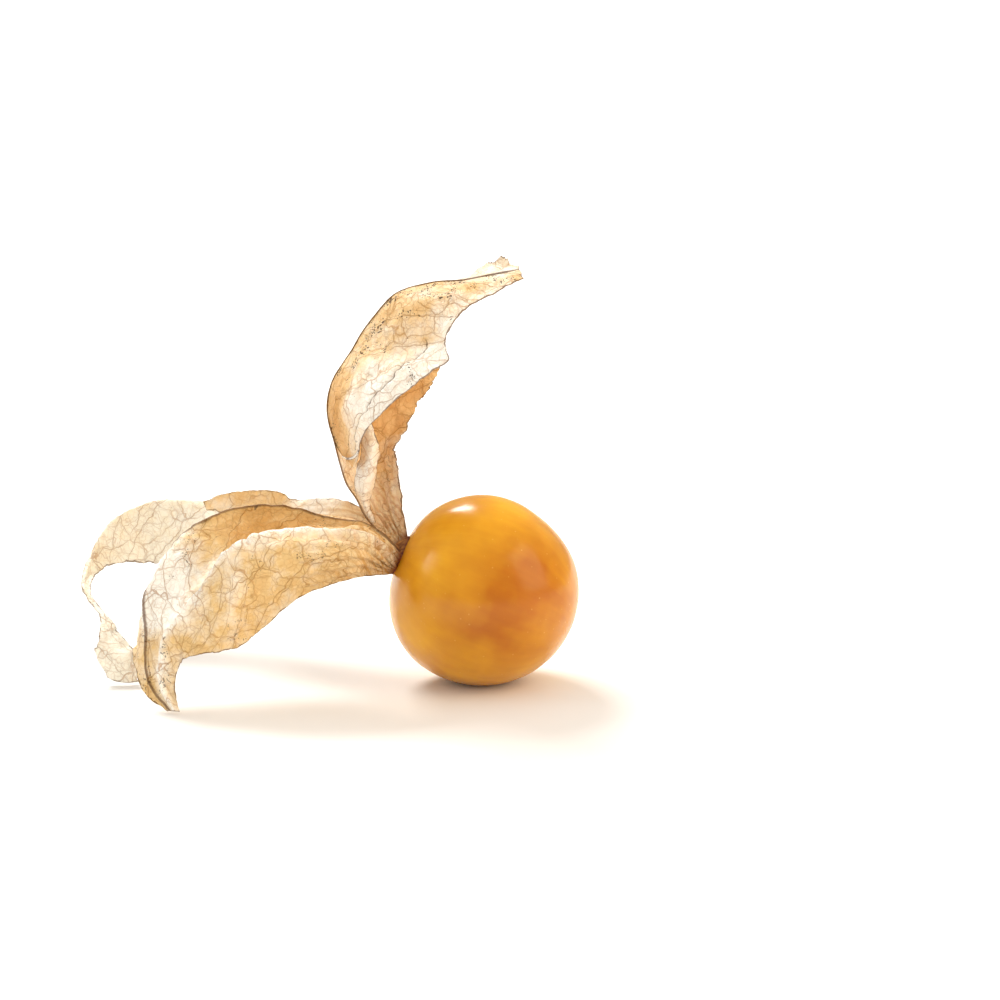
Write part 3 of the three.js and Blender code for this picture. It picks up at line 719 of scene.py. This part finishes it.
# rails: far edge, midrib, hollow, ridge of the fold, near wall, near edge
FRONT_LOBE = [
    [(-9, -0.5, 14.25), (-9, -1.25, 14.25), (-8.75, -2, 13.75), (-8.75, -2.25, 13.25), (-9, -2, 12.25),
     (-9.25, -0.5, 11.25)],
    [(-12.25, 2, 14.5), (-12.25, 0.5, 16), (-11.75, -1.5, 16), (-11.25, -3.5, 16), (-11.5, -6, 14.75),
     (-12.25, -4.5, 11.75)],
    [(-16.25, 3.5, 13.25), (-16.25, 1.5, 16.75), (-15.75, -1.5, 15.75), (-15.25, -5, 16.5),
     (-15.5, -8, 14.75), (-16, -6, 11)],
    [(-21, 3.5, 13), (-20.5, 1, 17.75), (-19.75, -2.5, 15.5), (-19.25, -6.5, 16.5), (-19.5, -9, 13.75),
     (-18.75, -7.5, 9.75)],
    [(-25.25, 2, 12), (-25, 0, 17.75), (-23.25, -4, 14.75), (-22.5, -7.5, 16), (-22.5, -10, 11.75),
     (-22, -8.5, 7)],
    [(-28.25, -1, 9.75), (-29, -2.5, 16), (-26.25, -6, 13.5), (-24.75, -8.5, 14.75), (-24, -11, 10.25),
     (-24, -10, 6)],
    [(-30, -4, 6.75), (-32, -5, 12.75), (-29, -7.5, 11), (-25.5, -10, 11.75), (-25.25, -11.5, 8.5),
     (-26.25, -11, 5.75)],
    [(-32.75, -6, 5.5), (-33.5, -7, 8.25), (-31.5, -8.25, 8.5), (-28.25, -10.5, 9), (-28, -11.25, 7.25),
     (-28.75, -11.25, 5.25)],
    [(-34.25, -7.5, 5), (-33, -8.5, 6.25), (-31.5, -9.25, 6.5), (-30.25, -10.5, 7.25), (-29.5, -11, 6),
     (-29.25, -11.25, 4.5)],
    [(-33, -10, 1.75), (-31.75, -10.5, 3.25), (-31, -11, 3.25), (-30.5, -11.25, 3), (-30, -11.5, 2.75),
     (-29.75, -11.75, 2.25)],
    [(-30.5, -12, 0.25), (-30.25, -12, 0.3), (-30, -12, 0.3), (-29.75, -12, 0.3), (-29.5, -12, 0.3),
     (-29.25, -12, 0.25)],
]

# Tone in tenths, partly age and partly painted light and shade: brown in the shaded hollow between midrib and
# ridge, bleached where the inside of the boat is lit.
FRONT_AGE_AND_SHADE = [
    [7, 7, 6, 5, 6, 7], [6, 7, 6, 4, 6, 6], [6, 7, 8, 4, 5, 5], [6, 7, 9, 4, 5, 4], [5, 7, 8, 3, 5, 4],
    [3, 3, 4, 3, 4, 4], [2, 0, 0, 3, 5, 4], [3, 1, 0, 2, 4, 4], [5, 4, 3, 4, 4, 4], [5, 5, 5, 5, 5, 5],
    [5, 5, 5, 5, 5, 5],
]

front_paper = husk_paper("husk_paper_front", "#FFFBF0", "#EDCD91", "#DCAB63", mould=0.6)
husk_sheet("front_lobe", FRONT_LOBE, FRONT_AGE_AND_SHADE, (260, 170), front_paper, "husk_lobe_front", midrib=1,
           cords=((1.35, 0.0, 1.0, 0.0, 0.05),), pleats=(12, 0.35), crumple=0.35, torn=(0.3, 0.35),
           crest=(3, 0.5, 0.4), seed=4)

# ---- Husk: rear lobe ----
# The lobe that runs back to the left, narrows to a twisted strip and ends in a curled flap on the
# surface.

# rails: far edge, midrib along the top, upper blade, lower blade, near edge
REAR_LOBE = [
    [(-9, 3, 12.5), (-9, 2.75, 12), (-9, 2.5, 11.5), (-9.25, 2, 11.25), (-9.25, 1.25, 11)],
    [(-13.5, 8.5, 13.5), (-13.75, 7, 14.75), (-13.75, 6, 14.25), (-13.75, 5.25, 13.25),
     (-13.75, 5.25, 12.25)],
    [(-19.25, 14, 13), (-19, 12, 14.75), (-19, 10.5, 14), (-19, 8.75, 13.25), (-19, 8.5, 11.5)],
    [(-25.5, 18, 12.75), (-24.75, 15.25, 15), (-24.5, 13.5, 14.25), (-24.5, 12, 13.25), (-24, 11, 11.25)],
    [(-31.5, 20.5, 12), (-30, 17.5, 14.75), (-29.75, 16, 13.25), (-29.5, 15, 11.25), (-29, 14, 9.25)],
    [(-37.5, 20.75, 11), (-35.5, 18.25, 14.5), (-35.25, 17.5, 12.25), (-35, 16.5, 10), (-34.5, 15.5, 8.25)],
    [(-41, 17.5, 9.75), (-39.75, 15.75, 12.5), (-39.25, 15.5, 11), (-38.75, 15, 9.75),
     (-38.25, 14.25, 8.75)],
    [(-41.75, 12, 8.75), (-41.25, 11.5, 9), (-41, 12, 8.75), (-40.75, 12, 8.5), (-40.25, 11.75, 8.25)],
    [(-41.25, 7, 7.5), (-41, 7.1, 7.5), (-40.75, 7.25, 7.4), (-40.5, 7.4, 7.4), (-40.25, 7.5, 7.5)],
    [(-39, 3, 5.7), (-38.75, 3, 5.75), (-38.5, 3.1, 5.8), (-38.25, 3.2, 5.9), (-38, 3.25, 6)],
    [(-38.75, -0.75, 4), (-38.25, -0.25, 4), (-37.75, 0.25, 4), (-37.25, 0.75, 4.25), (-36.5, 1.25, 4.5)],
    [(-39, -0.75, 3.25), (-38, -1.25, 2.75), (-37, -1.5, 2.5), (-35.75, -1.5, 2.25), (-34.25, -1, 2.25)],
    [(-37.75, -1.5, 0.75), (-37, -1.6, 0.4), (-36.25, -1.75, 0.3), (-35.5, -1.75, 0.25), (-34.5, -1.5, 0.3)],
]

# Tone in tenths, partly age and partly painted shade: darker near the calyx, where the underside is in shade,
# bleached further out where it is lit.
REAR_AGE_AND_SHADE = [
    [6, 6, 6, 6, 6], [4, 4, 3, 3, 3], [2, 3, 2, 2, 2], [2, 3, 2, 1, 2], [1, 2, 1, 1, 2], [1, 2, 1, 1, 1],
    [1, 1, 1, 1, 1], [2, 2, 2, 2, 2], [2, 2, 2, 2, 2], [2, 1, 1, 1, 1], [1, 0, 0, 0, 0], [1, 0, 0, 0, 1],
    [2, 1, 1, 1, 1],
]

rear_paper = husk_paper("husk_paper_rear", "#FFFAEB", "#FAE9C2", "#EBC78A", veins_show=0.6, mould=0.15,
                        seen_through=0.3)
husk_sheet("rear_lobe", REAR_LOBE, REAR_AGE_AND_SHADE, (300, 90), rear_paper, "husk_lobe_rear", midrib=1,
           pleats=(6, 0.25), crumple=0.25, torn=(0.3, 0.6), seed=5)

# ---- Husk: torn lobe ----
# A narrow strip of the fourth lobe, left between the upright and the rear lobe when the husk tore.

# rails: near edge, middle, far edge
TORN_LOBE = [
    [(-9.5, 2.5, 14), (-9.5, 2.75, 14.25), (-9.5, 3, 14.75)],
    [(-12.25, 3.5, 15.25), (-12.25, 4, 16), (-12.25, 4.5, 16.75)],
    [(-14.75, 4, 15.5), (-14.75, 4.5, 16.5), (-14.5, 5.25, 17.5)],
    [(-17, 5, 15.25), (-17.25, 5.75, 16.25), (-16.75, 6.25, 17.5)],
    [(-19, 6, 15), (-19.25, 6.75, 16.25), (-19, 7.5, 17)],
    [(-21.5, 7, 15), (-21.5, 8, 16.5), (-21.25, 8.5, 17.75)],
    [(-24.25, 8, 15), (-24.25, 9, 16.25), (-24.25, 9.5, 17.75)],
    [(-27, 8.5, 15.25), (-27, 9.25, 16.25), (-26.75, 9.75, 17.25)],
    [(-28.5, 9, 15.5), (-28.75, 9.5, 16), (-29, 9.75, 16.5)],
]

# Tone in tenths at the same points: 0 bleached, 10 brown.
TORN_TONES = [
    [5, 5, 5], [3, 3, 2], [2, 2, 1], [2, 2, 1], [3, 3, 3], [4, 4, 5], [4, 5, 6], [4, 4, 5], [4, 4, 4],
]

torn_paper = husk_paper("husk_paper_torn", "#FFFBF0", "#F5D59C", "#E3B36E", veins_show=0.5, mould=0.2)
husk_sheet("torn_lobe", TORN_LOBE, TORN_TONES, (160, 40), torn_paper, "husk_lobe_torn", midrib=1,
           pleats=(3, 0.2), crumple=0.5, torn=(0.3, 0.35), seed=6)
